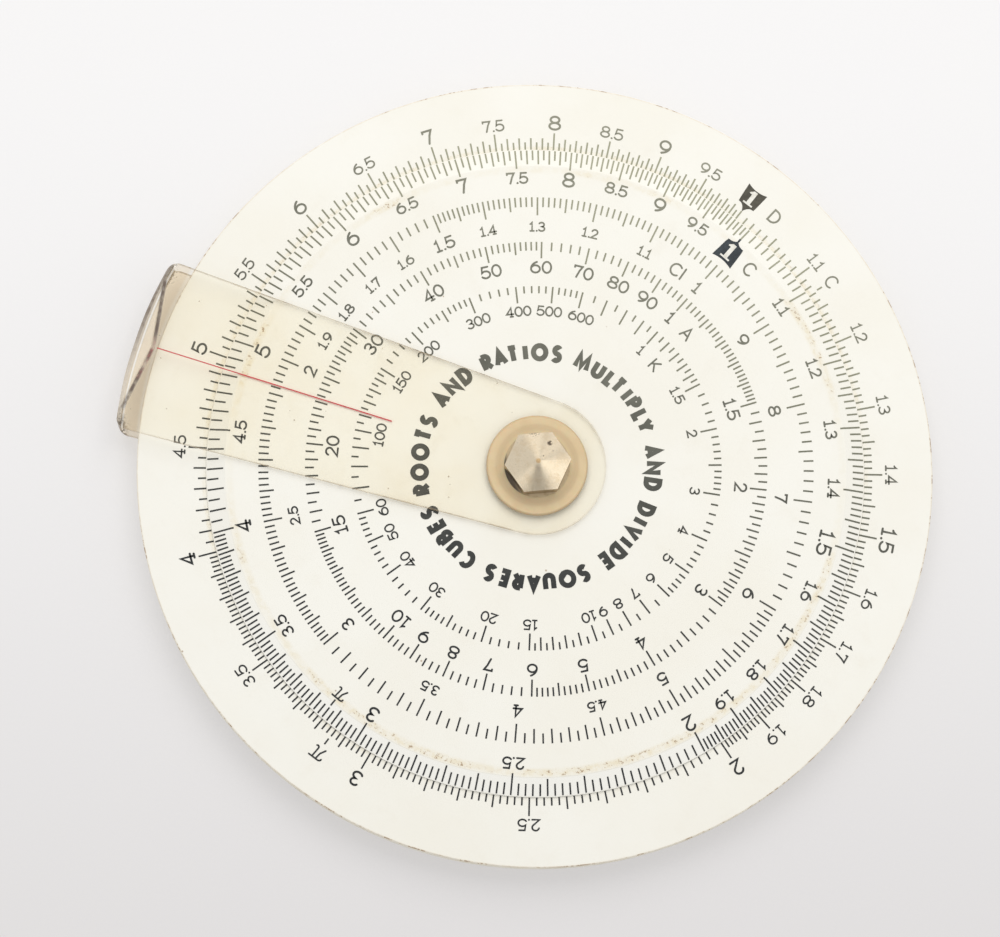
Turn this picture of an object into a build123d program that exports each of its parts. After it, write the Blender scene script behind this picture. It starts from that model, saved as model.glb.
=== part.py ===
from build123d import *
from math import cos, radians, sin, sqrt, tan
import os

# Circular slide rule, in millimetres. +Z up, origin on the pivot axis at the plane it rests on.
# +Y points at the index of the base's outer scale.

# Discs
disc_diameter = 80.0
core_thickness = 1.2
sheet_thickness = 0.3
seam_chamfer = 0.08
dial_diameter = 66.1
dial_thickness = 0.95
bevel_width = 1.9
dial_rim_thickness = 0.15
dial_rest_angle = 3.25

# Cursor
leg_thickness = 0.35
wall_thickness = 0.4
rim_gap = 1.9
hub_end_radius = 6.95
side_taper = 2.73
corner_radius = 1.3
fold_rounding = 0.9
fold_inner_rounding = 0.5
crease_depth = 2.0
crease_half_length = 7.0
crease_end_depth = 0.95
crease_drop = 1.2
hairline_width = 0.12
hairline_depth = 0.06
hairline_start = 15.2
cursor_rest_angle = 249.2

# Pivot
screw_radius = 1.5
bush_wall = 0.95
bush_flange_radius = 4.0
washer_radius = 5.08
washer_thickness = 0.35
washer_rounding = 0.18
nut_across_flats = 5.8
nut_turn = 43.5
nut_corner_height = 1.5
nut_cone_height = 0.7
thread_engagement = 1.2
head_height = 1.0
head_chamfer = 0.22
spring_radius = 3.3
spring_thickness = 0.14
spring_dish = 0.06
spring_land = 0.2

# Slip washers and clearances
slip_thickness = 0.06
dial_slip_thickness = 0.2
slip_margin = 0.2
dial_slip_radius = 7.5
running_gap = 0.05
shank_gap = 0.05

# Derived radii
disc_radius = disc_diameter / 2
dial_radius = dial_diameter / 2
bush_bore = screw_radius + shank_gap
bush_radius = bush_bore + bush_wall
turning_bore = bush_radius + running_gap
slip_radius = washer_radius - slip_margin
reach = disc_radius + rim_gap + wall_thickness
crease_radius = reach - crease_depth
nut_corner_radius = nut_across_flats / sqrt(3)

# Heights, from the resting plane up
back_washer_z = head_height
back_leg_z = back_washer_z + washer_thickness + running_gap
back_slip_z = back_leg_z + leg_thickness + running_gap
base_z = back_slip_z + slip_thickness
core_z = base_z + sheet_thickness
front_sheet_z = core_z + core_thickness
base_top = front_sheet_z + sheet_thickness
dial_z = base_top + running_gap
dial_top = dial_z + dial_thickness
front_slip_z = dial_top
front_leg_z = front_slip_z + slip_thickness + running_gap
cursor_top = front_leg_z + leg_thickness
bush_top = cursor_top + running_gap
front_washer_z = bush_top
spring_z = front_washer_z + washer_thickness
nut_z = spring_z + spring_thickness + spring_dish
nut_top = nut_z + nut_corner_height + nut_cone_height
screw_top = nut_z + thread_engagement


def tube(inner, outer, low, high):
    ring = Cylinder(outer, high - low) - Cylinder(inner, high - low)
    return Pos(0, 0, (low + high) / 2) * ring


def turned(points):
    outline = make_face(Polyline(*points, close=True))
    return revolve(Plane.XZ * outline, Axis.Z)


def base_core():
    low = core_z
    high = front_sheet_z
    edge = disc_radius - seam_chamfer
    return turned([
        (bush_radius, low),
        (edge, low),
        (disc_radius, low + seam_chamfer),
        (disc_radius, high - seam_chamfer),
        (edge, high),
        (bush_radius, high),
    ])


def base_front_sheet():
    high = base_top
    return turned([
        (bush_radius, front_sheet_z),
        (disc_radius, front_sheet_z),
        (disc_radius, high - seam_chamfer),
        (disc_radius - seam_chamfer, high),
        (bush_radius, high),
    ])


def base_back_sheet():
    return turned([
        (bush_flange_radius, base_z),
        (disc_radius - seam_chamfer, base_z),
        (disc_radius, base_z + seam_chamfer),
        (disc_radius, core_z),
        (bush_flange_radius, core_z),
    ])


def inner_disc():
    recess_radius = dial_slip_radius + slip_margin
    recess_top = base_top + dial_slip_thickness + running_gap
    return turned([
        (turning_bore, recess_top),
        (recess_radius, recess_top),
        (recess_radius, dial_z),
        (dial_radius, dial_z),
        (dial_radius, dial_z + dial_rim_thickness),
        (dial_radius - bevel_width, dial_top),
        (turning_bore, dial_top),
    ])


def pivot_bush():
    sleeve = tube(bush_bore, bush_radius, back_washer_z + washer_thickness, bush_top)
    flange = tube(bush_bore, bush_flange_radius, base_z, core_z)
    return sleeve + flange


def pivot_screw():
    head = extrude(RegularPolygon(nut_corner_radius, 6), head_height)
    blank_radius = nut_corner_radius - head_chamfer
    blank = turned([
        (0, 0),
        (blank_radius, 0),
        (nut_corner_radius + head_chamfer, 2 * head_chamfer),
        (nut_corner_radius + head_chamfer, head_height),
        (0, head_height),
    ])
    shank = Pos(0, 0, (head_height + screw_top) / 2) * Cylinder(screw_radius, screw_top - head_height)
    return Rot(0, 0, nut_turn) * (head & blank) + shank


def cap_nut():
    height = nut_corner_height + nut_cone_height
    flats = Pos(0, 0, nut_z) * extrude(RegularPolygon(nut_corner_radius, 6), height)
    shoulder = nut_z + nut_corner_height
    cone = turned([
        (0, nut_z),
        (nut_corner_radius, nut_z),
        (nut_corner_radius, shoulder),
        (0, nut_top),
    ])
    bore = Pos(0, 0, (nut_z + screw_top) / 2) * Cylinder(screw_radius, screw_top - nut_z)
    return Rot(0, 0, nut_turn) * (flats & cone) - bore


def washer(low, rounded_edge_up):
    high = low + washer_thickness
    ring = tube(bush_bore, washer_radius, low, high)
    outer_edges = ring.edges().filter_by(GeomType.CIRCLE).group_by(SortBy.RADIUS)[-1]
    rounded = outer_edges.sort_by(Axis.Z)[-1] if rounded_edge_up else outer_edges.sort_by(Axis.Z)[0]
    return fillet(rounded, washer_rounding)


def disc_spring():
    bore = screw_radius + shank_gap
    dished = spring_z + spring_dish
    return turned([
        (bore, dished),
        (spring_radius - spring_land, spring_z),
        (spring_radius, spring_z),
        (spring_radius, spring_z + spring_thickness),
        (bore + spring_land, nut_z),
        (bore, nut_z),
    ])


def side_above(points, side, drop):
    # Everything above a sloping facet, on one side of the hairline.
    apex, end, low = [Vector(*p) - Vector(0, 0, drop) for p in points]
    normal = (end - apex).cross(low - apex)
    if normal.Z < 0:
        normal = -normal
    size = 3 * reach
    facet = Plane(origin=apex, x_dir=end - apex, z_dir=normal)
    above = facet * Box(size, size, size, align=(Align.CENTER, Align.CENTER, Align.MIN))
    half = Pos(0, 0, apex.Z) * Box(size, size, size, align=(Align.MIN, Align.CENTER, Align.CENTER))
    if side < 0:
        half = Rot(0, 0, 180) * half
    return above & half


def above_facets(drop):
    wedges = []
    for side in (-1, 1):
        apex = (0, crease_radius, cursor_top)
        end = (side * crease_half_length, reach - crease_end_depth, cursor_top)
        low = (0, reach, cursor_top - crease_drop)
        wedges.append(side_above((apex, end, low), side, drop))
    return wedges


def cursor_outline():
    slope = radians(side_taper)
    foot_x = hub_end_radius * cos(slope)
    foot_y = -hub_end_radius * sin(slope)
    tip_y = reach + corner_radius
    tip_x = foot_x + (tip_y - foot_y) * tan(slope)
    arm = make_face(Polyline((-foot_x, foot_y), (foot_x, foot_y), (tip_x, tip_y), (-tip_x, tip_y), close=True))
    outline = (Circle(hub_end_radius) + arm) & Circle(reach)
    corners = outline.vertices().group_by(Axis.Y)[-1]
    return fillet(corners, corner_radius)


def rounded_puck(radius, low, high, rounding):
    puck = Pos(0, 0, (low + high) / 2) * Cylinder(radius, high - low)
    return fillet(puck.edges().filter_by(GeomType.CIRCLE), rounding)


def groove():
    length = crease_radius - wall_thickness - hairline_start
    middle = hairline_start + length / 2
    return Pos(0, middle, front_leg_z + hairline_depth / 2) * Box(hairline_width, length, hairline_depth)


def cursor():
    strip = Pos(0, 0, back_leg_z) * extrude(cursor_outline(), cursor_top - back_leg_z)
    strip = strip & rounded_puck(reach, back_leg_z, cursor_top, fold_rounding)
    for wedge in above_facets(0):
        strip = strip - wedge
    low = back_leg_z + leg_thickness
    cavity = rounded_puck(reach - wall_thickness, low, front_leg_z, fold_inner_rounding)
    for wedge in above_facets(leg_thickness):
        cavity = cavity - wedge
    holes = Pos(0, 0, (back_leg_z + cursor_top) / 2) * Cylinder(turning_bore, 2 * cursor_top)
    body = strip - cavity - holes - groove()
    return Rot(0, 0, -cursor_rest_angle) * body


def hairline():
    return Rot(0, 0, -cursor_rest_angle) * groove()


nodes = {
    "base_core": base_core(),
    "base_front_sheet": base_front_sheet(),
    "base_back_sheet": base_back_sheet(),
    "inner_disc": Rot(0, 0, -dial_rest_angle) * inner_disc(),
    "cursor": cursor(),
    "hairline": hairline(),
    "pivot_bush": pivot_bush(),
    "pivot_screw": pivot_screw(),
    "cap_nut": cap_nut(),
    "disc_spring": disc_spring(),
    "front_washer": washer(front_washer_z, True),
    "back_washer": washer(back_washer_z, False),
    "disc_slip_washer": tube(turning_bore, dial_slip_radius, base_top, base_top + dial_slip_thickness),
    "front_slip_washer": tube(turning_bore, slip_radius, front_slip_z, front_slip_z + slip_thickness),
    "back_slip_washer": tube(turning_bore, slip_radius, back_slip_z, base_z),
}

os.makedirs("parts", exist_ok=True)
for name, shape in nodes.items():
    export_step(shape, f"parts/{name}.step")
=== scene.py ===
import bpy
import bmesh
import math
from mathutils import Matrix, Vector


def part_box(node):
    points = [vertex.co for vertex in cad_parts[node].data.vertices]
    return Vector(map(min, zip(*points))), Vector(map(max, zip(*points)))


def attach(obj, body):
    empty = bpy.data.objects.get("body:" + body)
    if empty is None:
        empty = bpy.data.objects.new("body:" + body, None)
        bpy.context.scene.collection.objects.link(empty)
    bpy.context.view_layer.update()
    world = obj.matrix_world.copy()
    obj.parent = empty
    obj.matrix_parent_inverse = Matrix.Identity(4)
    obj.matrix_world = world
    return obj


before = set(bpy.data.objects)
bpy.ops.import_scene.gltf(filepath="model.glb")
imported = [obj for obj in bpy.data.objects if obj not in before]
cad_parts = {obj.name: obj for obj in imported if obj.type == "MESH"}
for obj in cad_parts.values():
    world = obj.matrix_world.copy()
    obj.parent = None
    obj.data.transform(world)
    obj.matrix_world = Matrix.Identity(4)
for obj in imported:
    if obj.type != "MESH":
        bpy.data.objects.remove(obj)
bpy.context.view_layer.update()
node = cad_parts

# Lengths are in millimetres, apart from those of the light, its cards and the floor, and angles in degrees. A
# place on the rule is a radius from the pivot axis and an angle clockwise from +Y, where the base's index is.
MM = 0.001
BASE_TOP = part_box("base_front_sheet")[1].z / MM
DIAL_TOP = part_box("inner_disc")[1].z / MM
DISC_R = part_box("base_core")[1].x / MM
DIAL_R = 33.05
DIAL_BEVEL = 1.9
DIAL_CREASE = DIAL_R - DIAL_BEVEL
DIAL_RIM_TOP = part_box("inner_disc")[0].z / MM + 0.15
DIAL_ANGLE = 3.25
CURSOR_ANGLE = 249.2
CURSOR_REACH = 42.3
CREASE_APEX = 40.3
CREASE_HALF_LENGTH = 7.0

# Printing: how far ink stands above the surface and goes below it, and how wide and tall its marks are.
INK = 0.018
INK_ROOT = 0.006
INK_STAGGER = 0.0012
TICK_W = 0.164
BIG = 1.57
SMALL = 1.24


# ---------------------------------------------------------------- camera, light, floor

def make_camera():
    """Nearly square on to the front, from the side away from the index, and rolled."""
    camera = bpy.data.objects.new("Camera", bpy.data.cameras.new("Camera"))
    bpy.context.scene.collection.objects.link(camera)
    camera.data.lens = 136.3
    camera.data.sensor_width = 36.0
    camera.data.clip_start = 0.01
    camera.data.clip_end = 10
    camera.location = Vector((28.88, -67.36, 372.905 + BASE_TOP)) * MM
    camera.rotation_euler = [math.radians(turn) for turn in (10.7465, -2.3188, 38.0228)]
    bpy.context.scene.camera = camera


def make_key_light():
    """A broad soft light over the top of the rule, which shiny surfaces don't see."""
    data = bpy.data.lights.new("key", "AREA")
    data.shape = "RECTANGLE"
    data.size, data.size_y = 0.40, 0.40
    data.energy = 1.10
    data.color = (1.0, 0.985, 0.96)
    lamp = bpy.data.objects.new("key", data)
    bpy.context.scene.collection.objects.link(lamp)
    place = Vector((-0.13, 0.21, 0.375))
    lamp.location = place
    lamp.rotation_euler = (-place).to_track_quat("-Z", "Y").to_euler()
    lamp.visible_glossy = False


def make_world():
    world = bpy.data.worlds.new("Studio")
    bpy.context.scene.world = world
    world.use_nodes = True
    background = world.node_tree.nodes["Background"]
    background.inputs["Color"].default_value = (0.97, 0.98, 1.0, 1)
    background.inputs["Strength"].default_value = 0.70


def quad(name, corners):
    mesh = bpy.data.meshes.new(name)
    mesh.from_pydata([Vector(c) for c in corners], [], [(0, 1, 2, 3)])
    made = bpy.data.objects.new(name, mesh)
    bpy.context.scene.collection.objects.link(made)
    return made


def glossy_card(name, place, half, grey):
    """A grey card that only shiny surfaces see, square on to the object, to shape their reflections."""
    centre = Vector(place)
    facing = centre.normalized()
    side = facing.cross(Vector((0, 0, 1))).normalized()
    rise = side.cross(facing)
    square = ((-1, -1), (1, -1), (1, 1), (-1, 1))
    made = quad(name, [centre + side * i * half + rise * j * half for i, j in square])
    for ray in ("camera", "diffuse", "transmission", "volume_scatter", "shadow"):
        setattr(made, "visible_" + ray, False)
    s = Shade(name)
    shine = s.principled((0, 0, 0), 1.0, Emission_Color=(grey, grey, grey), Emission_Strength=1.0)
    dress(made, s.finish(shine))


# ---------------------------------------------------------------- shader helpers

class Shade:
    """A small builder for one procedural material. Lengths are in millimetres."""

    def __init__(self, name):
        self.material = bpy.data.materials.new(name)
        self.material.use_nodes = True
        self.tree = self.material.node_tree
        self.tree.nodes.clear()
        self.out = self.tree.nodes.new("ShaderNodeOutputMaterial")
        coords = self.tree.nodes.new("ShaderNodeTexCoord")
        scale = self.tree.nodes.new("ShaderNodeVectorMath")
        scale.operation = "SCALE"
        scale.inputs["Scale"].default_value = 1 / MM
        self.link(coords.outputs["Object"], scale.inputs[0])
        self.mm = scale.outputs[0]
        split = self.tree.nodes.new("ShaderNodeSeparateXYZ")
        self.link(self.mm, split.inputs[0])
        self.x, self.y, self.z = split.outputs
        self._radius = None

    def link(self, a, b):
        self.tree.links.new(a, b)

    def put(self, socket, value):
        if hasattr(value, "is_linked"):
            self.link(value, socket)
        elif isinstance(value, (tuple, list)) and len(value) == 3 and socket.type == "RGBA":
            socket.default_value = (*value, 1)
        else:
            socket.default_value = value

    def math(self, operation, a, b=0.0, clamp=False):
        made = self.tree.nodes.new("ShaderNodeMath")
        made.operation = operation
        made.use_clamp = clamp
        for socket, value in zip(made.inputs, (a, b)):
            self.put(socket, value)
        return made.outputs[0]

    def times(self, *factors):
        total = factors[0]
        for factor in factors[1:]:
            total = self.math("MULTIPLY", total, factor)
        return total

    def plus(self, *terms):
        total = terms[0]
        for term in terms[1:]:
            total = self.math("ADD", total, term)
        return total

    def radius(self):
        if self._radius is None:
            squares = self.plus(self.times(self.x, self.x), self.times(self.y, self.y))
            self._radius = self.math("SQRT", squares)
        return self._radius

    def stretched(self, x, y, z, turn=0.0):
        made = self.tree.nodes.new("ShaderNodeMapping")
        made.inputs["Scale"].default_value = (x, y, z)
        made.inputs["Rotation"].default_value = (0, 0, math.radians(turn))
        self.link(self.mm, made.inputs[0])
        return made.outputs[0]

    def noise(self, size, detail=3.0, roughness=0.55, vector=None):
        made = self.tree.nodes.new("ShaderNodeTexNoise")
        made.inputs["Scale"].default_value = 1.0 / size
        made.inputs["Detail"].default_value = detail
        made.inputs["Roughness"].default_value = roughness
        self.link(vector or self.mm, made.inputs["Vector"])
        return made.outputs[0]

    def cells(self, size):
        made = self.tree.nodes.new("ShaderNodeTexVoronoi")
        made.inputs["Scale"].default_value = 1.0 / size
        self.link(self.mm, made.inputs["Vector"])
        return made.outputs["Distance"]

    def step(self, value, low, high, a=0.0, b=1.0):
        """Goes smoothly from a to b while the value goes from low to high."""
        made = self.tree.nodes.new("ShaderNodeMapRange")
        made.interpolation_type = "SMOOTHSTEP"
        self.put(made.inputs["Value"], value)
        made.inputs["From Min"].default_value = low
        made.inputs["From Max"].default_value = high
        made.inputs["To Min"].default_value = a
        made.inputs["To Max"].default_value = b
        return made.outputs[0]

    def band(self, value, centre, half, soft):
        """1 within half of a centre, fading to 0 over a soft edge."""
        off = self.math("ABSOLUTE", self.math("SUBTRACT", value, centre))
        return self.step(off, half, half + soft, 1.0, 0.0)

    def mix(self, amount, a, b):
        made = self.tree.nodes.new("ShaderNodeMix")
        made.data_type = "RGBA"
        factor, colour_a, colour_b, result = 0, 6, 7, 2
        self.put(made.inputs[factor], amount)
        self.put(made.inputs[colour_a], a)
        self.put(made.inputs[colour_b], b)
        return made.outputs[result]

    def bump(self, height, strength, distance, normal=None):
        made = self.tree.nodes.new("ShaderNodeBump")
        made.inputs["Strength"].default_value = strength
        made.inputs["Distance"].default_value = distance * MM
        self.link(height, made.inputs["Height"])
        if normal is not None:
            self.link(normal, made.inputs["Normal"])
        return made.outputs[0]

    def principled(self, colour, roughness, normal=None, **extra):
        made = self.tree.nodes.new("ShaderNodeBsdfPrincipled")
        self.put(made.inputs["Base Color"], colour)
        self.put(made.inputs["Roughness"], roughness)
        if normal is not None:
            self.link(normal, made.inputs["Normal"])
        for name, value in extra.items():
            self.put(made.inputs[name.replace("_", " ")], value)
        return made.outputs[0]

    def finish(self, surface):
        self.link(surface, self.out.inputs["Surface"])
        return self.material

    def rings(self, size, detail=2.0):
        """Noise that changes only with the distance from the pivot axis, as turning marks do."""
        made = self.tree.nodes.new("ShaderNodeCombineXYZ")
        self.link(self.radius(), made.inputs[0])
        return self.noise(size, detail, 0.6, made.outputs[0])

    def spot(self, x, y, radius, soft):
        """A round patch at a place, seen along the pivot axis."""
        dx = self.math("SUBTRACT", self.x, x)
        dy = self.math("SUBTRACT", self.y, y)
        off = self.math("SQRT", self.plus(self.times(dx, dx), self.times(dy, dy)))
        return self.step(off, radius, radius + soft, 1.0, 0.0)

    def strip_axes(self):
        """Distance along the cursor's hairline from the pivot, and across it."""
        turn = math.radians(CURSOR_ANGLE)
        sin, cos = math.sin(turn), math.cos(turn)
        along = self.plus(self.times(self.x, sin), self.times(self.y, cos))
        across = self.math("SUBTRACT", self.times(self.x, cos), self.times(self.y, sin))
        return along, across

    def geometry(self, normal):
        """How far one of the surface's normals points up, from 1 to -1, and whether a back face is seen."""
        made = self.tree.nodes.new("ShaderNodeNewGeometry")
        split = self.tree.nodes.new("ShaderNodeSeparateXYZ")
        self.link(made.outputs[normal], split.inputs[0])
        return split.outputs[2], made.outputs["Backfacing"]

    def specks(self, size, share, keep):
        """Small isolated spots: cells of a size, a radius share, kept where a noise is high."""
        spot = self.step(self.cells(size), share * 0.6, share, 1.0, 0.0)
        sparse = self.step(self.noise(size * 2.3, 1.0), keep, keep + 0.03)
        return self.times(spot, sparse)


def dress(obj, material):
    if obj.data.materials:
        for i in range(len(obj.data.materials)):
            obj.data.materials[i] = material
    else:
        obj.data.materials.append(material)


# ---------------------------------------------------------------- materials

def printed_white(name, dirt_ring, dirt_bias, rim_radius, rim_dirt, bright_from):
    """Cream printed plastic, painted a little paler on the lower side beyond one radius, where a bevel is, to
    offset the shade on the bevel.

    The dirt ring is a radius, a half width, a soft edge and how strong it is. The bias says how much more
    dirt the lower and the upper side have gathered.
    """
    s = Shade(name)
    r = s.radius()
    broad = s.noise(14.0, 4.0)
    fine = s.noise(0.35, 3.0)
    colour = s.mix(s.step(broad, 0.35, 0.7), (0.905, 0.884, 0.808), (0.885, 0.856, 0.765))
    grime = s.times(s.step(s.noise(3.2, 5.0, 0.65), 0.52, 0.80), 0.25)
    colour = s.mix(grime, colour, (0.82, 0.77, 0.66))
    lower = s.math("SUBTRACT", s.times(s.x, 0.61), s.times(s.y, 0.77))
    # Painted light: the bevel's lower side is made paler to offset the shade it gets from the light.
    paler = s.times(s.step(r, bright_from, bright_from + 0.12), s.step(lower, -4.0, 26.0))
    colour = s.mix(paler, colour, (0.985, 0.965, 0.895))

    along, _ = s.strip_axes()
    under_hairline = s.times(s.step(s.math("DIVIDE", along, r), 0.972, 0.99), 0.22)
    low_bias, high_bias = dirt_bias
    gathered = s.plus(s.noise(9.0, 2.0), under_hairline, s.step(lower, -16.0, 22.0, high_bias, low_bias))
    patchy = s.noise(0.8, 4.0, 0.7)
    crumbs = s.step(s.noise(0.28, 2.0), 0.57, 0.63)
    centre, half, soft, most = dirt_ring
    stain = s.times(s.band(r, centre, half, soft), s.step(gathered, 0.40, 0.66, 0.2, 1.0),
                    s.step(patchy, 0.38, 0.62, 0.3, 1.0))
    colour = s.mix(s.times(stain, most), colour, (0.79, 0.68, 0.45))
    specks = s.times(s.band(r, centre, half + 0.1, 0.2), s.step(gathered, 0.52, 0.62), crumbs,
                     s.step(patchy, 0.42, 0.56), s.step(r, DIAL_R - 0.4, DIAL_R, 1.0, 0.35))
    colour = s.mix(s.times(specks, 0.75), colour, (0.33, 0.20, 0.10))

    line = s.times(s.step(r, rim_radius - 0.22, rim_radius - 0.04), s.step(patchy, 0.3, 0.6, 0.3, 1.0))
    colour = s.mix(s.times(line, rim_dirt), colour, (0.70, 0.55, 0.34))
    here_and_there = s.plus(s.noise(7.0, 2.0), s.step(s.x, 12.0, 34.0, 0.0, 0.14))
    dashes = s.times(s.step(r, rim_radius - 0.14, rim_radius - 0.07), s.step(patchy, 0.52, 0.58),
                     s.step(here_and_there, 0.46, 0.56))
    colour = s.mix(s.times(dashes, 1.8 * rim_dirt), colour, (0.34, 0.21, 0.11))
    colour = s.mix(s.times(s.specks(2.7, 0.048, 0.59), 0.7), colour, (0.36, 0.24, 0.13))
    # Painted light: steep walls near the dial's rim are made pale, to offset the shade that falls on them.
    upward, _ = s.geometry("True Normal")
    painted_light_on_rim_wall = s.times(s.step(upward, 0.2, 0.5, 1.0, 0.0), s.step(r, DIAL_R + 1.0, DIAL_R + 2.0, 1.0, 0.0))
    colour = s.mix(painted_light_on_rim_wall, colour, (0.99, 0.98, 0.93))

    scratches = s.step(s.noise(1.0, 2.0, 0.5, s.stretched(0.35, 7.0, 1.0, 24)), 0.69, 0.72)
    rough = s.plus(s.step(fine, 0.3, 0.7, 0.34, 0.44), s.times(s.plus(grime, line), 0.25))
    rough = s.math("ADD", rough, s.times(scratches, 0.12), clamp=True)
    height = s.math("SUBTRACT", s.times(fine, 0.25), scratches)
    normal = s.bump(broad, 0.25, 0.2, s.bump(height, 0.3, 0.012))
    return s.finish(s.principled(colour, rough, normal, IOR=1.5))


def core_white():
    s = Shade("core_plastic")
    low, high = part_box("base_core")
    up = s.band(s.z, high.z / MM, 0.04, 0.12)
    down = s.band(s.z, low.z / MM, 0.04, 0.12)
    along = s.noise(1.3, 5.0, 0.7)
    colour = s.mix(s.step(s.noise(5.0, 3.0), 0.35, 0.7), (0.88, 0.84, 0.72), (0.84, 0.78, 0.62))
    colour = s.mix(s.times(up, s.step(along, 0.50, 0.64, 0.12, 0.8)), colour, (0.42, 0.29, 0.16))
    colour = s.mix(s.times(down, s.step(along, 0.45, 0.65, 0.1, 0.8)), colour, (0.38, 0.26, 0.15))
    patch = s.times(s.step(s.noise(2.4, 5.0, 0.75), 0.60, 0.74), 0.45)
    colour = s.mix(patch, colour, (0.50, 0.36, 0.21))
    sawn = s.noise(1.0, 3.0, 0.6, s.stretched(0.25, 0.25, 9.0))
    rough = s.step(sawn, 0.3, 0.7, 0.42, 0.62)
    return s.finish(s.principled(colour, rough, s.bump(sawn, 0.5, 0.03), IOR=1.5))


def back_white():
    s = Shade("back_sheet_plastic")
    r = s.radius()
    colour = s.mix(s.step(s.noise(16.0, 4.0), 0.35, 0.7), (0.885, 0.858, 0.765), (0.835, 0.79, 0.67))
    rub = s.step(s.noise(1.0, 4.0, 0.6, s.stretched(0.06, 1.4, 1.0, 15)), 0.55, 0.75)
    colour = s.mix(s.times(rub, 0.3), colour, (0.68, 0.61, 0.49))
    ring = s.times(s.band(r, 38.6, 0.7, 1.2), s.step(s.noise(2.2, 5.0, 0.7), 0.5, 0.7))
    colour = s.mix(s.times(ring, 0.5), colour, (0.55, 0.43, 0.29))
    colour = s.mix(s.times(s.specks(2.2, 0.06, 0.6), 0.7), colour, (0.34, 0.23, 0.13))
    fine = s.noise(0.3, 3.0)
    rough = s.plus(s.step(fine, 0.3, 0.7, 0.34, 0.46), s.times(rub, 0.15))
    return s.finish(s.principled(colour, rough, s.bump(fine, 0.3, 0.012), IOR=1.5))


def fold_marks(s, along, across):
    """What shows at the fold: painted shade with dirt along its V crease, a painted highlight on the facet
    past it, painted shade with dirt on the rim, a painted glint and scuffed corners.
    """
    off = s.math("ABSOLUTE", across)
    front = s.step(s.z, 3.0, 3.4)
    past = s.math("SUBTRACT", s.math("SUBTRACT", along, CREASE_APEX), s.times(off, 0.15))
    within = s.times(s.step(off, CREASE_HALF_LENGTH - 0.3, CREASE_HALF_LENGTH + 0.2, 1.0, 0.0), front)
    # Painted shade, with some dirt, along the V crease.
    crease = s.times(s.band(past, -0.06, 0.12, 0.14), within, s.step(s.noise(1.1, 3.0), 0.3, 0.6, 0.45, 1.0))
    # Painted highlight: the facet past the crease is lighter.
    facet = s.times(s.step(past, 0.1, 0.3), within)
    inward = s.math("SUBTRACT", CURSOR_REACH, s.radius())
    # Painted shade where the rolled rim is seen edge on, with dirt in it.
    rim = s.times(s.step(inward, 0.30, 0.52, 1.0, 0.0), s.step(across, -4.5, 3.5, 0.40, 1.0))
    # Painted highlight: a glint just inside the rim.
    glint = s.times(s.band(inward, 0.68, 0.05, 0.09), front)
    crumbs = s.step(s.noise(0.24, 2.0), 0.60, 0.68)
    rubbed = s.times(s.step(s.noise(0.3, 3.0), 0.47, 0.56), s.step(across, -6.0, -4.0, 1.0, 0.0))
    corner = s.times(s.step(off, 7.0, 8.0), s.step(inward, 0.5, 1.4, 1.0, 0.0),
                     s.math("MAXIMUM", crumbs, rubbed))
    return crease, facet, rim, glint, corner


def cursor_outline(s, along, across):
    """A brown line along the cursor's two sides and, fainter, round its hub end."""
    half_width, taper, hub_end = 6.9557, 0.0477, 6.9
    off = s.math("ABSOLUTE", across)
    inside = s.math("SUBTRACT", s.plus(half_width, s.times(along, taper)), off)
    sides = s.times(s.step(inside, 0.05, 0.16, 1.0, 0.0), s.step(along, -0.5, 1.0))
    round_end = s.times(s.band(s.radius(), hub_end, 0.05, 0.1), s.step(along, -0.5, 0.5, 1.0, 0.0))
    return s.math("MAXIMUM", sides, s.times(round_end, 0.5))


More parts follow.
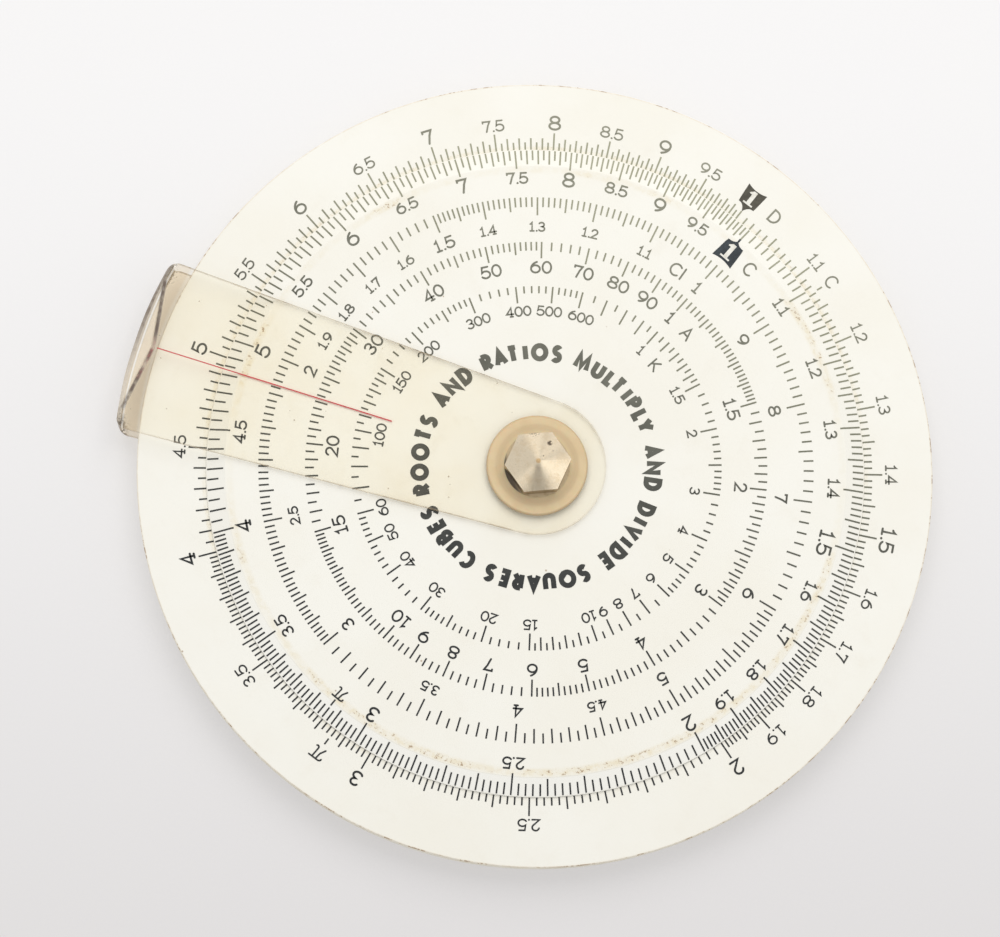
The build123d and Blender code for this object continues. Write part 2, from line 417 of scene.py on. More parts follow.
def celluloid():
    """Clear yellowed strip: light passes through a tint, with haze, dirt and a thin gloss over it, and
    painted shade and highlights at the fold.
    """
    s = Shade("cursor_celluloid")
    along, across = s.strip_axes()
    haze = s.noise(6.0, 4.0, 0.6)
    stain = s.step(s.noise(2.2, 5.0, 0.7), 0.54, 0.78)
    tint = s.mix(s.step(haze, 0.35, 0.7), (1.0, 0.994, 0.974), (0.997, 0.987, 0.960))
    tint = s.mix(s.times(stain, 0.4), tint, (0.975, 0.955, 0.905))
    # Darker tint beyond the disc: dirt inside the fold, and painted shade of the space under it.
    dirt_and_shade_beyond_disc = s.step(s.radius(), DISC_R - 0.1, DISC_R + 0.3)
    tint = s.mix(s.times(dirt_and_shade_beyond_disc, 0.9), tint, (0.969, 0.934, 0.872))
    clear = s.tree.nodes.new("ShaderNodeBsdfTransparent")
    s.link(tint, clear.inputs["Color"])

    upward, backfacing = s.geometry("Normal")
    cut_edge = s.step(s.math("ABSOLUTE", upward), 0.25, 0.75, 1.0, 0.0)
    dirt = s.step(s.noise(0.7, 5.0, 0.75), 0.45, 0.68)
    specks = s.specks(1.5, 0.07, 0.57)
    crease, facet, rim, glint, corner = fold_marks(s, along, across)
    outline = cursor_outline(s, along, across)
    fresnel = s.tree.nodes.new("ShaderNodeFresnel")
    fresnel.inputs["IOR"].default_value = 1.5
    front_facing = s.math("SUBTRACT", 1.0, backfacing)
    amount = s.plus(
        s.times(cut_edge, 0.10),
        s.times(cut_edge, dirt, 0.22),
        s.times(outline, s.step(haze, 0.3, 0.7, 0.12, 0.40)),
        s.times(crease, 0.85),
        s.times(facet, 0.38),
        s.times(rim, 0.74),
        s.times(glint, 0.35),
        s.times(corner, 0.75),
        s.times(specks, 0.6),
        s.times(stain, 0.03),
        s.times(fresnel.outputs[0], front_facing, 0.8))
    amount = s.math("MINIMUM", amount, 0.94)

    brown = s.mix(dirt, (0.42, 0.33, 0.21), (0.20, 0.13, 0.08))
    body = s.mix(s.math("MAXIMUM", outline, specks), (0.82, 0.76, 0.63), brown)
    body = s.mix(cut_edge, body, s.mix(dirt, (0.54, 0.42, 0.27), (0.27, 0.18, 0.10)))
    # Painted light at the fold: a light facet, a shaded rim, a glint and a shaded crease.
    body = s.mix(facet, body, (0.97, 0.88, 0.74))
    body = s.mix(rim, body, s.mix(dirt, (0.34, 0.29, 0.24), (0.20, 0.15, 0.11)))
    body = s.mix(glint, body, (0.95, 0.93, 0.88))
    body = s.mix(corner, body, (0.14, 0.11, 0.08))
    pigment = s.times(s.band(across, -1.3, 1.9, 0.6), s.step(s.noise(0.5, 4.0, 0.7), 0.40, 0.62))
    body = s.mix(crease, body, s.mix(s.times(pigment, 0.75), (0.16, 0.12, 0.095), (0.38, 0.13, 0.115)))
    rough = s.step(s.noise(0.5, 3.0), 0.3, 0.7, 0.10, 0.20)
    rough = s.plus(rough, s.times(s.math("MAXIMUM", crease, rim), 0.3))
    film = s.principled(body, rough, s.bump(s.noise(9.0, 2.0), 0.4, 0.25), IOR=1.5)
    both = s.tree.nodes.new("ShaderNodeMixShader")
    s.link(amount, both.inputs[0])
    s.link(clear.outputs[0], both.inputs[1])
    s.link(film, both.inputs[2])
    return s.finish(both.outputs[0])


def tan_washer():
    s = Shade("washer_plastic")
    r = s.radius()
    mottled = s.noise(1.6, 4.0, 0.6)
    colour = s.mix(s.step(mottled, 0.35, 0.7), (0.745, 0.590, 0.355), (0.710, 0.550, 0.318))
    colour = s.mix(s.step(r, 4.80, 5.04), colour, (0.56, 0.42, 0.24))
    # Painted shade: a darker ring round the nut.
    colour = s.mix(s.times(s.band(r, 3.9, 0.1, 0.4), 0.5), colour, (0.60, 0.44, 0.25))
    patches = s.step(s.noise(1.1, 4.0, 0.7), 0.45, 0.65)
    streak = s.times(s.step(s.rings(0.22, 3.0), 0.5, 0.75), patches)
    colour = s.mix(s.times(streak, 0.35), colour, (0.50, 0.36, 0.20))
    colour = s.mix(s.times(s.specks(0.9, 0.08, 0.60), 0.8), colour, (0.18, 0.11, 0.06))
    rough = s.step(mottled, 0.3, 0.7, 0.34, 0.5)
    normal = s.bump(s.rings(0.3, 2.0), 0.25, 0.02)
    waxy = dict(Subsurface_Weight=0.2, Subsurface_Scale=0.0006)
    return s.finish(s.principled(colour, rough, normal, IOR=1.5, **waxy))


def worn_nickel(name, marked):
    """Rubbed nickel plate with turning marks, its side faces painted dark for the shade on them. The marked
    one has a brassy tip and a corroded pit.
    """
    s = Shade(name)
    pits = s.specks(0.42, 0.16, 0.58)
    worn = s.step(s.noise(1.1, 5.0, 0.7), 0.46, 0.68)
    colour = s.mix(worn, (0.93, 0.79, 0.58), (0.88, 0.72, 0.50))
    colour = s.mix(s.times(pits, 0.7), colour, (0.20, 0.14, 0.10))
    turned = s.times(s.rings(0.16, 3.0), s.step(s.noise(0.9, 3.0), 0.38, 0.62, 0.15, 0.8))
    grain = s.noise(0.11, 3.0, 0.7)
    flecks = s.step(s.noise(0.16, 3.0, 0.6), 0.60, 0.72)
    colour = s.mix(s.times(flecks, 0.25), colour, (0.45, 0.36, 0.27))
    upward, _ = s.geometry("True Normal")
    # Painted shade: the side faces are darkened.
    painted_shade_on_flats = s.step(s.math("ABSOLUTE", upward), 0.2, 0.6, 1.0, 0.0)
    colour = s.mix(s.times(painted_shade_on_flats, 0.7), colour, (0.20, 0.15, 0.11))
    rough = s.math("ADD", s.step(grain, 0.3, 0.7, 0.15, 0.27), s.times(pits, 0.3), clamp=True)
    height = s.plus(s.times(turned, 0.35), s.times(grain, 0.5))
    height = s.math("SUBTRACT", height, s.plus(pits, s.times(flecks, 0.3)))
    if marked:
        tip = s.spot(0.0, 0.0, 0.16, 0.16)
        colour = s.mix(tip, colour, (0.80, 0.56, 0.30))
        pit = s.times(s.spot(-0.24, 2.2, 0.15, 0.20), s.step(s.noise(0.2, 2.0), 0.36, 0.50))
        pit = s.math("MAXIMUM", pit, s.spot(0.09, 0.73, 0.03, 0.06))
        chips = s.times(s.spot(-2.2, 2.2, 0.25, 0.5), s.step(s.noise(0.18, 3.0), 0.48, 0.60))
        pit = s.math("MAXIMUM", pit, s.times(chips, 0.8))
        colour = s.mix(s.times(pit, 0.9), colour, (0.10, 0.07, 0.05))
        height = s.math("SUBTRACT", height, pit)
    normal = s.bump(height, 0.13, 0.012)
    return s.finish(s.principled(colour, rough, normal, Metallic=1.0))


def dark_steel():
    """A dull steel washer: painted tan and mottled nearly all round for the tan washer it reflects, and
    painted dark on one side for the shade there.
    """
    s = Shade("spring_steel")
    rust = s.step(s.noise(0.8, 5.0, 0.7), 0.48, 0.66)
    # Painted shade on one side, and painted reflection of the tan washer elsewhere.
    painted_shade_side = s.step(s.plus(s.times(s.y, -0.87), s.times(s.x, -0.5)), 2.2, 3.0)
    washer_reflection_tan = s.mix(rust, (0.66, 0.52, 0.32), (0.56, 0.42, 0.24))
    colour = s.mix(painted_shade_side, washer_reflection_tan, s.mix(rust, (0.13, 0.10, 0.07), (0.08, 0.055, 0.035)))
    rough = s.step(rust, 0.0, 1.0, 0.45, 0.65)
    return s.finish(s.principled(colour, rough, s.bump(s.noise(0.25, 3.0), 0.4, 0.02), Metallic=0.25))


def turned_brass():
    s = Shade("bush_brass")
    lines = s.noise(1.0, 3.0, 0.6, s.stretched(0.3, 0.3, 14.0))
    colour = s.mix(s.step(s.noise(1.2, 4.0), 0.4, 0.65), (0.72, 0.52, 0.24), (0.50, 0.33, 0.14))
    rough = s.step(lines, 0.3, 0.7, 0.25, 0.42)
    return s.finish(s.principled(colour, rough, s.bump(lines, 0.4, 0.02), Metallic=1.0))


def slip_film():
    s = Shade("slip_washer_film")
    colour = s.mix(s.step(s.noise(1.8, 4.0), 0.4, 0.66), (0.80, 0.75, 0.62), (0.68, 0.60, 0.44))
    rub = s.noise(0.4, 4.0, 0.65)
    return s.finish(s.principled(colour, s.step(rub, 0.3, 0.7, 0.4, 0.6), s.bump(rub, 0.3, 0.01), IOR=1.5))


def print_ink(name, pale_a, pale_b):
    """Dark printing ink, painted paler and more olive towards one side, for a sheen of light over the print
    there.
    """
    s = Shade(name)
    toward = s.math("SUBTRACT", s.times(s.y, 0.94), s.times(s.x, 0.34))
    # Painted sheen: the ink grows pale towards one side, where glare veils it.
    painted_sheen = s.math("POWER", s.step(toward, -26.0, 38.0), 1.5)
    dark = s.mix(s.step(s.noise(2.5, 4.0), 0.4, 0.66), (0.018, 0.020, 0.021), (0.030, 0.032, 0.031))
    pale = s.mix(s.step(s.noise(2.5, 4.0), 0.4, 0.66), pale_a, pale_b)
    colour = s.mix(painted_sheen, dark, pale)
    worn = s.step(s.noise(0.22, 3.0, 0.7), 0.66, 0.74)
    colour = s.mix(s.times(worn, 0.3), colour, (0.40, 0.39, 0.33))
    rough = s.step(s.noise(0.3, 3.0), 0.3, 0.7, 0.40, 0.55)
    return s.finish(s.principled(colour, rough, s.bump(s.noise(0.15, 2.0), 0.3, 0.004), IOR=1.45))


def flag_ink():
    """The index flags' solid ink: brownish on the base's flag, bluish on the dial's."""
    s = Shade("index_flag_ink")
    outer = s.step(s.radius(), 32.0, 33.0)
    mottled = s.step(s.noise(0.5, 4.0, 0.65), 0.4, 0.68)
    brownish = s.mix(mottled, (0.066, 0.060, 0.043), (0.098, 0.090, 0.066))
    bluish = s.mix(mottled, (0.028, 0.034, 0.038), (0.048, 0.060, 0.068))
    colour = s.mix(outer, bluish, brownish)
    rough = s.step(mottled, 0.0, 1.0, 0.38, 0.5)
    return s.finish(s.principled(colour, rough, s.bump(mottled, 0.2, 0.004), IOR=1.45))


def red_ink():
    s = Shade("hairline_ink")
    colour = s.mix(s.step(s.noise(0.5, 4.0), 0.38, 0.66), (0.94, 0.13, 0.16), (0.84, 0.17, 0.19))
    return s.finish(s.principled(colour, s.step(s.noise(0.2, 2.0), 0.3, 0.7, 0.4, 0.6), IOR=1.45))


def white_ink():
    s = Shade("reversed_figure_white")
    colour = s.mix(s.step(s.noise(0.4, 4.0), 0.4, 0.66), (0.86, 0.84, 0.76), (0.72, 0.69, 0.60))
    return s.finish(s.principled(colour, s.step(s.noise(0.3, 2.0), 0.3, 0.7, 0.35, 0.5), IOR=1.45))


def pale_floor():
    s = Shade("pale_floor")
    # Painted light: the floor grows lighter away from the near side, for the light's fall-off, and it glows a
    # little, which lifts the shade round the rule.
    near = s.mix(s.step(s.noise(60.0, 3.0), 0.35, 0.7), (0.305, 0.292, 0.287), (0.30, 0.285, 0.283))
    away = s.math("SUBTRACT", s.times(s.y, 0.77), s.times(s.x, 0.61))
    colour = s.mix(s.step(away, -80.0, 45.0), near, (0.475, 0.470, 0.465))
    fine = s.noise(0.5, 3.0)
    normal = s.bump(fine, 0.25, 0.06)
    return s.finish(s.principled(colour, 0.85, normal, IOR=1.4, Emission_Color=(1.0, 0.985, 0.985),
                                 Emission_Strength=0.42))


# ---------------------------------------------------------------- lettering as strokes

def arc(cx, cy, rx, ry, start, end, steps=14):
    """Points along an ellipse's arc, anticlockwise from its right."""
    turn = [math.radians(start + (end - start) * i / steps) for i in range(steps + 1)]
    return [(cx + rx * math.cos(t), cy + ry * math.sin(t)) for t in turn]


def ring(cx, cy, rx, ry, steps=22):
    return arc(cx, cy, rx, ry, 90, 450, steps)


def dot(x, y):
    return [(x - 0.004, y), (x + 0.004, y)]


STEM = [(0.0, 0.0), (0.0, 1.0)]
LOOP = [(0.0, 1.0), (0.20, 1.0)] + arc(0.20, 0.74, 0.26, 0.26, 90, -90, 8) + [(0.0, 0.48)]

# Each figure is a width and its pen strokes, in units of its height. The p is a pi.
GLYPHS = {
    "0": (0.64, [ring(0.32, 0.5, 0.32, 0.5)]),
    "1": (0.40, [[(0.02, 0.80), (0.10, 0.84), (0.20, 1.0), (0.20, 0.0)], [(0.02, 0.0), (0.38, 0.0)]]),
    "2": (0.58, [arc(0.29, 0.71, 0.27, 0.29, 168, -38) + [(0.0, 0.0), (0.57, 0.0)]]),
    "3": (0.58, [arc(0.27, 0.755, 0.25, 0.245, 150, -90, 12) + arc(0.27, 0.255, 0.29, 0.255, 90, -152, 14)]),
    "4": (0.64, [[(0.45, 0.0), (0.45, 1.0), (0.0, 0.28), (0.63, 0.28)], [(0.32, 0.0), (0.58, 0.0)]]),
    "5": (0.63, [[(0.55, 1.0), (0.11, 1.0), (0.05, 0.52)] + arc(0.30, 0.315, 0.33, 0.315, 136, -150)]),
    "6": (0.66, [ring(0.33, 0.33, 0.33, 0.33), arc(0.68, 0.345, 0.68, 0.665, 178, 112, 8)]),
    "7": (0.58, [[(0.0, 0.86), (0.0, 1.0), (0.57, 1.0), (0.40, 0.60), (0.25, 0.0)]]),
    "8": (0.68, [ring(0.34, 0.76, 0.28, 0.24), ring(0.34, 0.26, 0.34, 0.26)]),
    "9": (0.66, [ring(0.33, 0.67, 0.33, 0.33), arc(-0.02, 0.655, 0.68, 0.665, -2, -68, 8)]),
    ".": (0.10, [dot(0.05, 0.02)]),
    "p": (0.92, [arc(0.18, 0.80, 0.18, 0.18, 185, 90, 5) + [(0.92, 0.98)],
                 [(0.36, 0.98), (0.31, 0.45), (0.10, 0.0)],
                 [(0.66, 0.98), (0.62, 0.20)] + arc(0.74, 0.16, 0.12, 0.16, 180, 310, 6)]),
    "A": (0.66, [[(0.0, 0.0), (0.33, 1.0), (0.66, 0.0)], [(0.11, 0.33), (0.55, 0.33)]]),
    "C": (0.66, [arc(0.36, 0.5, 0.36, 0.5, 48, 312, 18)]),
    "D": (0.62, [[(0.0, 1.0), (0.0, 0.0), (0.22, 0.0)] + arc(0.22, 0.5, 0.40, 0.5, -90, 90, 12)
                 + [(0.0, 1.0)]]),
    "I": (0.02, [[(0.01, 0.0), (0.01, 1.0)]]),
    "K": (0.58, [STEM, [(0.54, 1.0), (0.0, 0.36)], [(0.18, 0.56), (0.58, 0.0)]]),
    "B": (0.52, [STEM, [(0.0, 1.0), (0.24, 1.0)] + arc(0.24, 0.76, 0.22, 0.24, 90, -90, 8) + [(0.0, 0.52)],
                 [(0.0, 0.52), (0.28, 0.52)] + arc(0.28, 0.26, 0.24, 0.26, 90, -90, 8) + [(0.0, 0.0)]]),
    "E": (0.46, [[(0.46, 1.0), (0.0, 1.0), (0.0, 0.0), (0.46, 0.0)], [(0.0, 0.51), (0.42, 0.51)]]),
    "L": (0.42, [[(0.0, 1.0), (0.0, 0.0), (0.42, 0.0)]]),
    "M": (0.86, [[(0.0, 0.0), (0.09, 1.0), (0.43, 0.10), (0.77, 1.0), (0.86, 0.0)]]),
    "N": (0.66, [[(0.0, 0.0), (0.0, 1.0), (0.66, 0.0), (0.66, 1.0)]]),
    "O": (0.92, [ring(0.46, 0.5, 0.46, 0.5, 26)]),
    "P": (0.46, [STEM, LOOP]),
    "Q": (0.92, [ring(0.46, 0.5, 0.46, 0.5, 26), [(0.56, 0.32), (0.88, -0.02)]]),
    "R": (0.50, [STEM, LOOP, [(0.20, 0.46), (0.50, 0.0)]]),
    "S": (0.46, [arc(0.24, 0.76, 0.20, 0.24, 35, 265, 10) + arc(0.22, 0.26, 0.24, 0.26, 82, -145, 10)]),
    "T": (0.54, [[(0.0, 1.0), (0.54, 1.0)], [(0.27, 1.0), (0.27, 0.0)]]),
    "U": (0.60, [[(0.0, 1.0), (0.0, 0.30)] + arc(0.30, 0.30, 0.30, 0.30, 180, 360, 12) + [(0.60, 1.0)]]),
    "V": (0.66, [[(0.0, 1.0), (0.33, 0.0), (0.66, 1.0)]]),
    "Y": (0.62, [[(0.0, 1.0), (0.31, 0.46), (0.62, 1.0)], [(0.31, 0.46), (0.31, 0.0)]]),
}


def round_end(tip, outward, half):
    """Edge points that round off a stroke's end, on the left of the outward direction and on the right."""
    ahead = outward.normalized()
    beside = Vector((-ahead.y, ahead.x))
    turns = [math.radians(turn) for turn in (30, 60, 82)]
    return [[tip + ahead * half * math.sin(t) + beside * side * half * math.cos(t) for t in turns]
            for side in (1, -1)]


def pen(points, width, round_ends):
    """The left and right edges of one pen stroke, with mitred joins, and whether it is closed."""
    path = [Vector(points[0])]
    for p in points[1:]:
        if (Vector(p) - path[-1]).length > 1e-6:
            path.append(Vector(p))
    closed = len(path) > 3 and (path[0] - path[-1]).length < 1e-6
    if closed:
        path.pop()
    count = len(path)
    half = width / 2
    sharpest = 0.45
    left, right = [], []
    for i, p in enumerate(path):
        before = path[i - 1] if (i > 0 or closed) else None
        after = path[(i + 1) % count] if (i < count - 1 or closed) else None
        d1 = (p - before).normalized() if before is not None else (after - p).normalized()
        d2 = (after - p).normalized() if after is not None else d1
        n1, n2 = Vector((-d1.y, d1.x)), Vector((-d2.y, d2.x))
        n = n1 + n2
        n = n.normalized() if n.length > 1e-6 else n1
        reach = half / max(n.dot(n1), sharpest)
        left.append(p + n * reach)
        right.append(p - n * reach)
    if round_ends and not closed:
        first_right, first_left = round_end(path[0], path[0] - path[1], half)
        last_left, last_right = round_end(path[-1], path[-1] - path[-2], half)
        left = first_left[::-1] + left + last_left
        right = first_right[::-1] + right + last_right
    return left, right, closed


def turned(angle):
    """Turns points at the top of the rule clockwise by an angle."""
    cos, sin = math.cos(math.radians(angle)), math.sin(math.radians(angle))
    return lambda p: (p[0] * cos + p[1] * sin, p[1] * cos - p[0] * sin)


class Print:
    """Collects thin raised marks for one printed piece. A mark is a strip between two edges."""

    def __init__(self, surface):
        self.surface = surface
        self.verts = []
        self.faces = []
        self.strips = 0

    def strip(self, left, right, closed, place, high=INK):
        """One closed mark. Neighbouring marks differ by a hair in height, so that none lie in one plane."""
        self.strips += 1
        high += INK_STAGGER * (self.strips % 4)
        start = len(self.verts)
        count = len(left)
        for edges in zip(left, right):
            for p in edges:
                x, y = place(p)
                z = self.surface(math.hypot(x, y))
                self.verts.append((x * MM, y * MM, (z + high) * MM))
                self.verts.append((x * MM, y * MM, (z - INK_ROOT) * MM))
        for i in range(count if closed else count - 1):
            a = start + 4 * i
            b = start + 4 * ((i + 1) % count)
            self.faces.append((a, b, b + 2, a + 2))
            self.faces.append((a + 1, a + 3, b + 3, b + 1))
            self.faces.append((a, a + 1, b + 1, b))
            self.faces.append((a + 2, b + 2, b + 3, a + 3))
        if not closed:
            a, b = start, start + 4 * (count - 1)
            self.faces.append((a, a + 2, a + 3, a + 1))
            self.faces.append((b, b + 1, b + 3, b + 2))

    def tick(self, angle, r0, r1, width=TICK_W):
        """One graduation, with a cut where it crosses the dial's crease."""
        stops = [r0, DIAL_CREASE, r1] if r0 < DIAL_CREASE < r1 else [r0, r1]
        left = [(-width / 2, r) for r in stops]
        right = [(width / 2, r) for r in stops]
        self.strip(left, right, False, turned(angle))

    def words(self, text, angle, r0, height, stroke, round_ends=True, gap=0.20, widen=1.18):
        """Lettering with its feet on radius r0 and its middle at an angle, tops outward."""
        scale = height - stroke
        gaps = []
        for a, b in zip(text, text[1:]):
            gaps.append(0.15 if a == "." else 0.20 if b == "." else gap)
        widths = [GLYPHS[c][0] * scale * widen for c in text]
        x = -(sum(widths) + height * sum(gaps)) / 2
        for c, w, space in zip(text, widths, gaps + [0.0]):
            for line in GLYPHS[c][1]:
                points = [(x + px * scale * widen, r0 + stroke / 2 + py * scale) for px, py in line]
                left, right, closed = pen(points, stroke * 1.15 if c == "." else stroke, round_ends)
                self.strip(left, right, closed, turned(angle))
            x += w + space * height

    def band(self, edges, angle, high=INK):
        """A solid between two radii that change across a radius: edges are (across, inner, outer)."""
        outer = [(x, far) for x, _, far in edges]
        inner = [(x, near) for x, near, _ in edges]
        self.strip(outer, inner, False, turned(angle), high)

    def piece(self, name, body, slot, material):
        """Makes the marks into one mesh that rides on a body."""
        mesh = bpy.data.meshes.new(name)
        mesh.from_pydata(self.verts, [], self.faces)
        bm = bmesh.new()
        bm.from_mesh(mesh)
        bmesh.ops.recalc_face_normals(bm, faces=bm.faces)
        bm.to_mesh(mesh)
        bm.free()
        made = bpy.data.objects.new(name, mesh)
        bpy.context.scene.collection.objects.link(made)
        dress(made, material)
        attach(made, body)
        return made


# ---------------------------------------------------------------- the scales

def base_surface(r):
    return BASE_TOP


def dial_surface(r):
    if r <= DIAL_CREASE:
        return DIAL_TOP
    return DIAL_TOP + (DIAL_RIM_TOP - DIAL_TOP) * (r - DIAL_CREASE) / DIAL_BEVEL


def around(value, index=DIAL_ANGLE, cycles=1):
    """The angle of a value on a logarithmic scale that has so many decades in one turn."""
    return index + 360 / cycles * math.log10(value)


def divisions(spans):
    """Graduations as (value, rank), once each, from spans.

    A span is its start, end and fine step, and then each coarser step with the rank of its longer lines.
    """
    found = {}
    for start, end, fine, coarser in spans:
        for i in range(int(round((end - start) / fine)) + 1):
            v = round(start + i * fine, 6)
            rank = 0
            for step, r in coarser:
                if abs(v / step - round(v / step)) < 1e-6:
                    rank = max(rank, r)
            found[v] = max(rank, found.get(v, 0))
    return sorted(found.items())


def full_scale():
    return divisions([
        (1, 2, 0.01, [(0.05, 1), (0.1, 2)]),
        (2, 4, 0.02, [(0.1, 1), (0.5, 2)]),
        (4, 10, 0.05, [(0.1, 1), (0.5, 2)]),
    ])


def repeated(spans, decades):
    """The graduations of one decade, again for each further decade."""
    found = []
    for decade in range(decades):
        for v, rank in divisions(spans):
            if v < 10:
                found.append((v * 10**decade, rank))
    return found


def label_figures(pr, spots, feet_big, feet_small, big=(BIG, 0.215), small=(SMALL, 0.185)):
    """Figures in two sizes: each size is a height and a stroke."""
    for text, angle, large in spots:
        if large:
            pr.words(text, angle, feet_big, *big)
        else:
            pr.words(text, angle, feet_small, *small)


def main_labels(index):
    spots = []
    for k in range(11, 20):
        v = k / 10
        spots.append((f"{v:g}", around(v, index), k == 15))
    for k in range(2, 10):
        spots.append((f"{k}", around(k, index), True))
        spots.append((f"{k}.5", around(k + 0.5, index), False))
    return spots


def print_scale(name, body, marks, figures, inks):
    mark_ink, figure_ink = inks
    marks.piece(name + "_scale_marks", body, "print_ink", mark_ink)
    figures.piece(name + "_scale_figures", body, "print_ink", figure_ink)


def d_scale(inks):
    """The base's scale, whose lines start at the dial's rim. Its C is the gauge mark for a cylinder."""
    marks, figures = Print(base_surface), Print(base_surface)
    gauge = 1.128
    start = DIAL_R + 0.03
    ends = (33.88, 34.32, 34.90)
    for v, rank in full_scale():
        if v < 10:
            marks.tick(around(v, 0), start, ends[rank] if v > 1 else 34.11)
    marks.tick(around(math.pi, 0), 34.2, 34.9)
    marks.tick(around(gauge, 0), 34.15, 34.75)
    label_figures(figures, main_labels(0), 35.2, 35.17, small=(SMALL, 0.165))
    figures.words("p", around(math.pi, 0), 35.27, 1.4, 0.17)
    figures.words("C", around(gauge, 0) + 0.15, 35.15, 1.45, 0.17)
    figures.words("D", 4.9, 35.08, 1.48, 0.19)
    print_scale("d", "base", marks, figures, inks)


def c_scale(inks):
    """The dial's outer scale, whose lines end at its rim."""
    marks, figures = Print(dial_surface), Print(dial_surface)
    starts = (31.82, 31.33, 30.87)
    end = DIAL_R - 0.1
    for v, rank in full_scale():
        if v < 10:
            marks.tick(around(v), starts[rank] if v > 1 else 31.49, end)
    marks.tick(around(math.pi), 30.87, 31.6)
    label_figures(figures, main_labels(DIAL_ANGLE), 29.07, 29.25)
    figures.words("p", around(math.pi), 29.5, 1.27, 0.165)
    figures.words("C", DIAL_ANGLE + 5.25, 29.07, 1.52, 0.19)
    print_scale("c", "dial", marks, figures, inks)


def ci_scale(inks):
    """The dial's reciprocal scale, which runs anticlockwise."""
    marks, figures = Print(dial_surface), Print(dial_surface)
    starts, end = (26.83, 26.38, 25.96), 27.83
    ticks = divisions([
        (6, 10, 0.1, [(0.5, 1), (1, 2)]),
        (3, 6, 0.05, [(0.1, 1), (0.5, 2)]),
        (2, 3, 0.02, [(0.1, 1), (0.5, 2)]),
        (1.5, 2, 0.02, [(0.1, 2)]),
        (1, 1.5, 0.01, [(0.05, 1), (0.1, 2)]),
    ])
    for v, rank in ticks:
        if v < 10:
            marks.tick(around(10 / v), starts[rank], end)
    spots = [(f"{k}", around(10 / k), True) for k in range(1, 10)]
    for v in (1.1, 1.2, 1.3, 1.4, 1.6, 1.7, 1.8, 1.9, 2.5, 3.5, 4.5):
        spots.append((f"{v:g}", around(10 / v), False))
    spots.append(("1.5", around(10 / 1.5), True))
    label_figures(figures, spots, 24.03, 24.23, (1.32, 0.19), (1.05, 0.165))
    figures.words("CI", DIAL_ANGLE - 6.2, 24.15, 1.42, 0.185, gap=0.22, widen=1.3)
    print_scale("ci", "dial", marks, figures, inks)


def a_scale(inks):
    """The dial's scale of squares: two decades."""
    marks, figures = Print(dial_surface), Print(dial_surface)
    starts, end = (22.28, 21.88, 21.48), 23.17
    spans = [
        (1, 1.5, 0.02, [(0.1, 1)]),
        (1.5, 2, 0.05, [(0.1, 1), (0.5, 2)]),
        (2, 3, 0.05, [(0.1, 1), (0.5, 2)]),
        (3, 6, 0.1, [(0.5, 1), (1, 2)]),
        (6, 10, 0.2, [(1, 2)]),
    ]
    for v, rank in repeated(spans, 2):
        longest = v in (1, 10)
        marks.tick(around(v, cycles=2), starts[2 if longest else rank], end)
    for v in (1, 1.5, *range(2, 11), 15, *range(20, 100, 10)):
        figures.words(f"{v:g}", around(v, cycles=2), 19.88, 1.34, 0.19)
    figures.words("A", DIAL_ANGLE + 6.5, 19.85, 1.4, 0.185)
    print_scale("a", "dial", marks, figures, inks)


def k_scale(inks):
    """The dial's scale of cubes: three decades."""
    marks, figures = Print(dial_surface), Print(dial_surface)
    starts, end = (17.84, 17.25, 16.88), 18.57
    spans = [
        (1, 1.5, 0.05, [(0.1, 1), (0.5, 2)]),
        (1.5, 2, 0.1, [(0.5, 2)]),
        (2, 3, 0.1, [(0.5, 1), (1, 2)]),
        (3, 6, 0.2, [(1, 2)]),
        (6, 10, 0.5, [(1, 2)]),
    ]
    for v, rank in repeated(spans, 3):
        marks.tick(around(v, cycles=3), starts[rank], end)
    moved = {500: -0.5, 600: 1.7}
    for v in (1, 1.5, *range(2, 11), 15, *range(20, 70, 10), 100, 150, *range(200, 700, 100)):
        angle = around(v, cycles=3) + moved.get(v, 0)
        figures.words(f"{v:g}", angle, 15.47, 1.08, 0.16, gap=0.17)
    figures.words("K", DIAL_ANGLE + 7.4, 15.25, 1.28, 0.17)
    print_scale("k", "dial", marks, figures, inks)


def ring_words(ink):
    """Bold capitals all the way round the hub, closer together where two letters' shapes leave a gap."""
    pr = Print(dial_surface)
    text = "MULTIPLY AND DIVIDE SQUARES CUBES ROOTS AND RATIOS "
    foot, height, stroke, word_space = 10.8, 1.88, 0.52, 0.75
    closer = {"LT": 0.45, "LY": 0.35, "AT": 0.3, "RA": 0.15, "UA": 0.1, "TI": -0.1, "DI": -0.1, "ID": -0.1}
    middle = foot + height / 2
    widths = [GLYPHS[c][0] * (height - stroke) + stroke if c != " " else word_space for c in text]
    kerns = [closer.get(a + b, 0.0) for a, b in zip(text, text[1:] + text[0])]
    space = (2 * math.pi * middle - sum(widths) + sum(kerns)) / len(text)
    x = 0.0
    for c, w, kern in zip(text, widths, kerns):
        if c != " ":
            angle = DIAL_ANGLE - 22 + math.degrees((x + w / 2) / middle)
            pr.words(c, angle, foot, height, stroke, False, widen=1.0)
        x += w + space - kern
    pr.piece("function_words_print", "dial", "print_ink", ink)


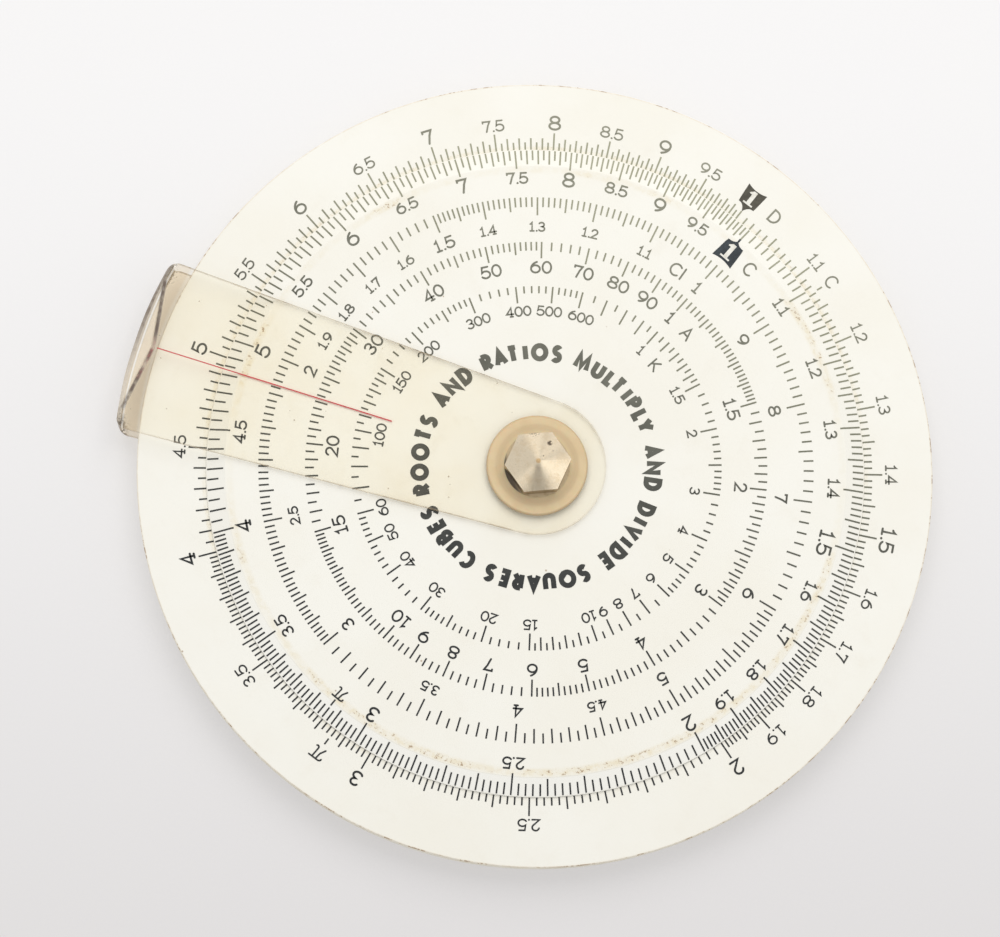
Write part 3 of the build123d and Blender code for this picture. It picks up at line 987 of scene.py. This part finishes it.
def flag(pr, angle, edge, corner, shoulder, neck, half_edge, half_shoulder):
    """An index flag: a concave far edge, straight sides, and concave shoulders down to its tick."""
    steps = 16
    edges = []
    for i in range(-steps, steps + 1):
        share = abs(i) / steps
        x = i / steps * half_edge
        outer = corner + (edge - corner) * (1 - share**2)
        inside = min(abs(x) / half_shoulder, 1.0)
        inner = neck + (shoulder - neck) * (1 - (1 - inside) ** 3)
        if abs(x) > half_shoulder:
            inner += 0.98 * (corner - shoulder) * (abs(x) - half_shoulder) / (half_edge - half_shoulder)
        edges.append((x, inner, outer))
    pr.band(edges, angle)


def index_one(pr, angle, foot, top):
    """The bold figure 1 cut out of a flag: foot serif, stem and beak."""
    high = INK * 1.8
    pr.band([(-0.56, foot, foot + 0.18), (0.56, foot, foot + 0.18)], angle, high)
    pr.band([(-0.22, foot + 0.1, top), (0.22, foot + 0.1, top)], angle, high)
    pr.band([(-0.52, top - 0.42, top - 0.30), (-0.19, top - 0.42, top - 0.02)], angle, high)


def index_flags(ink, white):
    base = Print(base_surface)
    flag(base, 0, edge=36.70, corner=36.92, shoulder=34.84, neck=34.10, half_edge=1.14, half_shoulder=0.95)
    base.piece("d_index_flag", "base", "print_ink", ink)
    base = Print(base_surface)
    index_one(base, 0, 34.98, 36.58)
    base.piece("d_index_figure", "base", "white_sheet", white)
    dial = Print(dial_surface)
    flag(dial, DIAL_ANGLE, edge=28.62, corner=28.42, shoulder=30.74, neck=31.13, half_edge=1.18,
         half_shoulder=1.0)
    dial.tick(DIAL_ANGLE, 31.08, 31.50, 0.20)
    dial.piece("c_index_flag", "dial", "print_ink", ink)
    dial = Print(dial_surface)
    index_one(dial, DIAL_ANGLE, 28.86, 30.62)
    dial.piece("c_index_figure", "dial", "dial_white", white)


# ---------------------------------------------------------------- build

bpy.context.scene.view_settings.view_transform = "Standard"
make_camera()
make_world()
make_key_light()
glossy_card("card_over_camera", (0.0755, -0.0612, 0.422), 0.062, 0.34)
glossy_card("card_at_right", (0.108, 0.115, 0.40), 0.085, 1.15)
glossy_card("card_at_top", (-0.156, 0.197, 0.37), 0.055, 1.0)
glossy_card("card_beyond_top", (-0.026, 0.235, 0.368), 0.05, 0.92)
glossy_card("card_at_lower_left", (-0.034, -0.140, 0.415), 0.045, 1.0)
floor = quad("floor", [(-3, -3, 0), (3, -3, 0), (3, 3, 0), (-3, 3, 0)])
dress(floor, pale_floor())

mark_ink = print_ink("graduation_ink", (0.345, 0.34, 0.235), (0.39, 0.385, 0.275))
figure_ink = print_ink("figure_ink", (0.25, 0.245, 0.185), (0.30, 0.295, 0.225))
for scale in (d_scale, c_scale, ci_scale, a_scale, k_scale):
    scale((mark_ink, figure_ink))
ring_words(figure_ink)
index_flags(flag_ink(), white_ink())

nowhere = 2 * DISC_R
dress(node["base_front_sheet"], printed_white(
    "front_sheet_plastic", dirt_ring=(DIAL_R + 0.15, 0.10, 0.30, 0.42), dirt_bias=(-0.12, 0.10),
    rim_radius=DISC_R, rim_dirt=0.42, bright_from=nowhere))
dress(node["inner_disc"], printed_white(
    "dial_plastic", dirt_ring=(DIAL_CREASE - 0.42, 0.10, 0.50, 0.60), dirt_bias=(0.12, -0.05),
    rim_radius=DIAL_R, rim_dirt=0.07, bright_from=DIAL_CREASE))
dress(node["base_core"], core_white())
dress(node["base_back_sheet"], back_white())
dress(node["cursor"], celluloid())
dress(node["hairline"], red_ink())
dress(node["cap_nut"], worn_nickel("nut_nickel", True))
dress(node["pivot_screw"], worn_nickel("screw_nickel", False))
dress(node["disc_spring"], dark_steel())
dress(node["pivot_bush"], turned_brass())
washer, film = tan_washer(), slip_film()
for name in ("front_washer", "back_washer"):
    dress(node[name], washer)
for name in ("disc_slip_washer", "front_slip_washer", "back_slip_washer"):
    dress(node[name], film)

bpy.context.view_layer.update()
